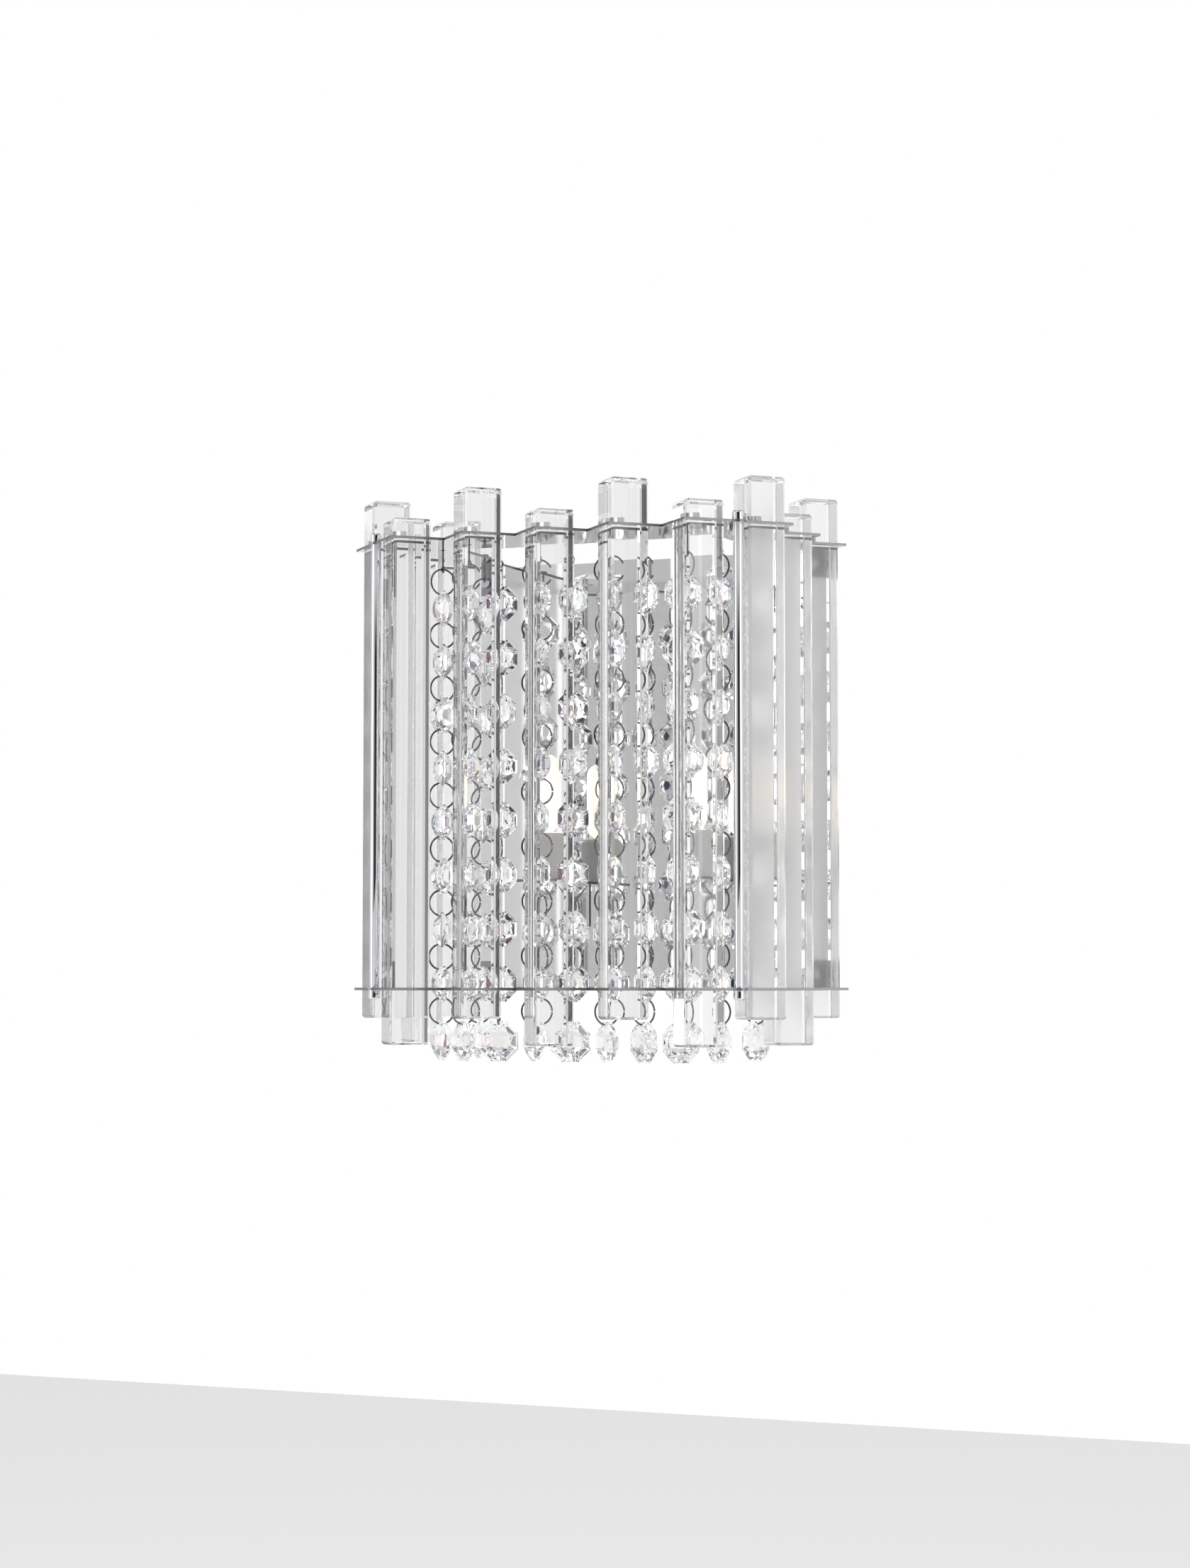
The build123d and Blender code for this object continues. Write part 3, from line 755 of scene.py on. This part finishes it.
class SCONCE_OT_lamps(bpy.types.Operator):
    """Capsule lamps with a lit filament, in their ceramic holders"""

    bl_idname = "sconce.lamps"
    bl_label = "Lamps"

    WALL = 1.0                       # thickness of the quartz, mm
    SHOULDER = 0.5                   # gap between the holder's rim and the round of the capsule, mm
    PINCH = (9.6, 4.2)               # width and depth of the flat pinch, mm
    FILAMENT = (1.1, 0.22, 9, 9.0)   # the coil's radius in mm, wire in mm, turns, and length in mm
    TURN_STEPS = 12                  # straight runs in a turn of the coil
    COIL_DROP = 14.0                 # from the capsule's tip down to the coil's middle, mm

    def execute(self, context):
        settings = context.scene.sconce_lamps
        glass = quartz(settings)
        glow = lit_tungsten(settings)
        ceramic = steatite()
        for word in LAMPS:
            node = f"lamp_capsule_{word}"
            seated(self.bulb(node, word, glass), ROOT, "lamp_glass", node)
            seated(self.filament(node, word, glow), ROOT, "pin_wire")
            dress(f"lamp_holder_{word}", ceramic)
        dress("lamp_pins", zinc_steel())
        return {"FINISHED"}

    def bulb(self, node, word, glass):
        """Closed quartz tube with a domed tip and a flat pinch below."""
        low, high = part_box(node)
        place = (low + high) / 2
        radius = (high.x - low.x) / 2
        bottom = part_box(f"lamp_holder_{word}")[1].z + self.SHOULDER * MM
        bm = bmesh.new()
        for inner in (0.0, self.WALL * MM):
            self.shell(bm, place, radius - inner, bottom + inner, high.z - inner, flip=inner > 0)
        width, depth = (size * MM for size in self.PINCH)
        pinch = Matrix.Translation((place.x, place.y, (low.z + bottom) / 2))
        size = Matrix.Diagonal((width, depth, bottom - low.z, 1))
        bmesh.ops.create_cube(bm, size=1.0, matrix=pinch @ size)
        piece = mesh_piece(f"quartz_capsule_{word}", bm, glass, smooth=True)
        sharpen(piece, angle=50)
        return piece

    def shell(self, bm, place, radius, bottom, top, flip):
        """A round-ended closed surface of revolution."""
        made = bmesh.ops.create_uvsphere(bm, u_segments=32, v_segments=16, radius=radius)
        for vert in made["verts"]:
            stretch = top - radius if vert.co.z > 0 else bottom + radius
            vert.co.z += stretch
            vert.co.x += place.x
            vert.co.y += place.y
        if flip:
            faces = {face for vert in made["verts"] for face in vert.link_faces}
            bmesh.ops.reverse_faces(bm, faces=list(faces))

    def filament(self, node, word, glow):
        """A coil of tungsten wire standing in the capsule."""
        place = middle(node)
        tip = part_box(node)[1].z
        radius, wire, turns, length = self.FILAMENT
        bm = bmesh.new()
        section = Matrix.Translation((radius * MM, 0, 0)) @ Matrix.Rotation(math.radians(90), 4, "X")
        bmesh.ops.create_circle(bm, segments=6, radius=wire / 2 * MM, matrix=section)
        steps = turns * self.TURN_STEPS
        bmesh.ops.spin(
            bm, geom=bm.edges[:] + bm.verts[:], cent=(0, 0, 0), axis=(0, 0, 1),
            angle=turns * 2 * math.pi, dvec=(0, 0, length * MM / steps), steps=steps,
            use_merge=False, use_duplicate=False)
        cap_holes(bm)
        bmesh.ops.recalc_face_normals(bm, faces=bm.faces)
        foot = tip - self.COIL_DROP * MM - length / 2 * MM
        bmesh.ops.translate(bm, vec=(place.x, place.y, foot), verts=bm.verts)
        return mesh_piece(f"filament_{word}", bm, glow, smooth=True)


# ---- stage ---------------------------------------------------------------------


class SCONCE_OT_stage(bpy.types.Operator):
    """Camera, plain pale floor, studio panels and background"""

    bl_idname = "sconce.stage"
    bl_label = "Stage"

    PHOTO_HEIGHT = 2212                      # height of the picture, px
    FOCAL = 4428.8                           # focal length, px
    EYE = (587.3, -1430.4, -101.2)           # camera's place, mm
    YAW = 23.478                             # degrees, turned towards -X
    PITCH = 3.6107                           # degrees upwards
    SENSOR = 36.0                            # longer side of the camera's sensor, mm
    NEAR = 0.01                              # nothing nearer to the camera shows, m
    BOUNCES = 32                             # light runs to and fro inside the bars and beads
    FLOOR = 3.0                              # half the floor's width, m
    FLOOR_LIFT = 0.42                        # the floor's own glow, to the eye and in glass and metal
    # brightness of the room round the light, by degrees from straight in front, to the right
    ROOM = (
        (-180, 0.92), (-150, 0.92), (-120, 0.96), (-116, 0.12), (-112, 0.12), (-108, 0.96), (-60, 0.96),
        (-38, 0.88), (-27, 0.7), (-8, 0.58), (3, 0.34), (9, 0.02), (44, 0.02), (50, 0.5), (60, 0.84),
        (76, 0.93), (96, 0.96), (150, 0.96), (180, 1.0))
    # sine of the height over which that ring turns into even walls, and the walls into the ceiling
    WALLS = (0.28, 0.5)
    CEILING = (0.4, 0.6)
    PANELS = (                               # name, place in m, width and height in m, W
        ("panel_left", (-1.3, -1.2, 0.0), (0.7, 2.6), 14.0),
        ("panel_right", (1.8, -0.5, 0.0), (0.6, 2.6), 10.0),
        ("panel_above", (0.0, -0.5, 1.6), (1.0, 1.0), 7.0),
    )

    def execute(self, context):
        settings = context.scene.sconce_stage
        self.camera(context.scene)
        self.floor(settings)
        self.world(context.scene, settings)
        self.panels()
        context.scene.view_settings.view_transform = "Standard"
        context.scene.cycles.max_bounces = self.BOUNCES
        context.scene.cycles.transmission_bounces = self.BOUNCES
        context.scene.cycles.glossy_bounces = self.BOUNCES
        return {"FINISHED"}

    def camera(self, scene):
        data = bpy.data.cameras.new("camera")
        data.sensor_width = self.SENSOR
        data.lens = self.FOCAL / self.PHOTO_HEIGHT * self.SENSOR
        data.clip_start = self.NEAR
        made = bpy.data.objects.new("camera", data)
        made.location = Vector(self.EYE) * MM
        made.rotation_euler = (math.radians(90 + self.PITCH), 0, math.radians(self.YAW))
        scene.collection.objects.link(made)
        scene.camera = made

    def floor(self, settings):
        """Pale floor: it answers light like paper, and glows a little, so that it stays pale."""
        bm = bmesh.new()
        level = Matrix.Translation((0, 0, -settings.floor_drop * MM))
        bmesh.ops.create_grid(bm, x_segments=1, y_segments=1, size=self.FLOOR, matrix=level)
        material = bpy.data.materials.new("pale_floor")
        material.use_nodes = True
        tree = material.node_tree
        tree.nodes.clear()
        paper = put(tree, "ShaderNodeBsdfDiffuse", {"Color": hex_colour("#F4F4F4")})
        path = put(tree, "ShaderNodeLightPath").outputs
        mirrored = put(tree, "ShaderNodeMath", {
            0: path["Is Glossy Ray"], 1: path["Is Transmission Ray"]}, operation="MAXIMUM").outputs["Value"]
        seen = put(tree, "ShaderNodeMath", {
            0: path["Is Camera Ray"], 1: mirrored}, operation="MAXIMUM").outputs["Value"]
        lift = put(tree, "ShaderNodeMath", {
            0: seen, 1: self.FLOOR_LIFT}, operation="MULTIPLY").outputs["Value"]
        glow = put(tree, "ShaderNodeEmission", {"Color": hex_colour("#FFFFFF"), "Strength": lift})
        both = put(tree, "ShaderNodeAddShader", {0: paper.outputs["BSDF"], 1: glow.outputs["Emission"]})
        put(tree, "ShaderNodeOutputMaterial", {"Surface": both.outputs["Shader"]})
        mesh_piece("floor", bm, material)

    def world(self, scene, settings):
        """White to the eye. Glass, metal and the lit surfaces have a pale room round them instead.

        The room has a dark gap behind the camera, a narrow dark band at the left rear and a grey
        ceiling, and they give the glass its dark lines.
        """
        world = bpy.data.worlds.new("studio")
        world.use_nodes = True
        scene.world = world
        tree = world.node_tree
        tree.nodes.clear()
        way = put(tree, "ShaderNodeTexCoord").outputs["Generated"]
        parts = put(tree, "ShaderNodeSeparateXYZ", {"Vector": way}).outputs
        front = put(tree, "ShaderNodeMath", {0: parts["Y"], 1: -1.0}, operation="MULTIPLY").outputs["Value"]
        azimuth = put(tree, "ShaderNodeMath", {
            0: parts["X"], 1: front}, operation="ARCTAN2").outputs["Value"]
        turn = put(tree, "ShaderNodeMapRange", {
            "Value": azimuth, "From Min": -math.pi, "From Max": math.pi}).outputs["Result"]
        ring = put(tree, "ShaderNodeValToRGB", {"Fac": turn})
        stops = ring.color_ramp.elements
        for degrees, _ in self.ROOM[1:-1]:
            stops.new(degrees / 360 + 0.5)
        for stop, (_, level) in zip(stops, self.ROOM):
            stop.color = (level, level, level, 1.0)
        height = put(tree, "ShaderNodeMath", {0: parts["Z"]}, operation="ABSOLUTE").outputs["Value"]
        high = put(tree, "ShaderNodeMapRange", {
            "Value": height, "From Min": self.WALLS[0], "From Max": self.WALLS[1]},
            interpolation_type="SMOOTHSTEP").outputs["Result"]
        wall = put(tree, "ShaderNodeMix", {
            "Factor": high, "A": ring.outputs["Color"], "B": settings.wall}).outputs["Result"]
        above = put(tree, "ShaderNodeMapRange", {
            "Value": parts["Z"], "From Min": self.CEILING[0], "From Max": self.CEILING[1]},
            interpolation_type="SMOOTHSTEP").outputs["Result"]
        level = put(tree, "ShaderNodeMix", {
            "Factor": above, "A": wall, "B": settings.ceiling}).outputs["Result"]
        studio = put(tree, "ShaderNodeBackground", {"Color": hex_colour("#FDFDFD"), "Strength": level})
        white = put(tree, "ShaderNodeBackground", {"Color": hex_colour("#FFFFFF"), "Strength": 1.0})
        path = put(tree, "ShaderNodeLightPath")
        mix = put(tree, "ShaderNodeMixShader", {
            "Fac": path.outputs["Is Camera Ray"], 1: studio.outputs["Background"],
            2: white.outputs["Background"]})
        put(tree, "ShaderNodeOutputWorld", {"Surface": mix.outputs["Shader"]})

    def panels(self):
        """Two tall soft boxes either side of the camera and one panel above."""
        for name, place, size, power in self.PANELS:
            data = bpy.data.lights.new(name, "AREA")
            data.shape = "RECTANGLE"
            data.size, data.size_y = size
            data.energy = power
            made = bpy.data.objects.new(name, data)
            made.location = place
            made.rotation_euler = (-Vector(place)).to_track_quat("-Z", "Y").to_euler()
            bpy.context.scene.collection.objects.link(made)


class SCONCE_PT_panel(bpy.types.Panel):
    """Lists the sconce's pieces in the sidebar"""

    bl_idname = "SCONCE_PT_panel"
    bl_label = "Crystal wall sconce"
    bl_space_type = "VIEW_3D"
    bl_region_type = "UI"
    bl_category = "Sconce"

    def draw(self, context):
        scene = context.scene
        for settings in (scene.sconce_bars, scene.sconce_strands, scene.sconce_lamps, scene.sconce_stage):
            box = self.layout.box()
            for name in settings.__annotations__:
                box.prop(settings, name)
        for operator in OPERATORS:
            self.layout.operator(operator.bl_idname)


SETTINGS = {
    "sconce_bars": BarSettings,
    "sconce_strands": StrandSettings,
    "sconce_lamps": LampSettings,
    "sconce_stage": StageSettings,
}
OPERATORS = (
    SCONCE_OT_stage,
    SCONCE_OT_plates,
    SCONCE_OT_fittings,
    SCONCE_OT_bars,
    SCONCE_OT_crystals,
    SCONCE_OT_links,
    SCONCE_OT_lamps,
)


def register():
    for group in (*SETTINGS.values(), *OPERATORS, SCONCE_PT_panel):
        bpy.utils.register_class(group)
    for name, group in SETTINGS.items():
        setattr(bpy.types.Scene, name, PointerProperty(type=group))


def unregister():
    for name in SETTINGS:
        delattr(bpy.types.Scene, name)
    for group in reversed((*SETTINGS.values(), *OPERATORS, SCONCE_PT_panel)):
        bpy.utils.unregister_class(group)


def main():
    register()
    bpy.ops.sconce.stage()
    bpy.ops.sconce.plates()
    bpy.ops.sconce.fittings()
    bpy.ops.sconce.bars()
    bpy.ops.sconce.crystals()
    bpy.ops.sconce.links()
    bpy.ops.sconce.lamps()


if __name__ == "__main__":
    main()
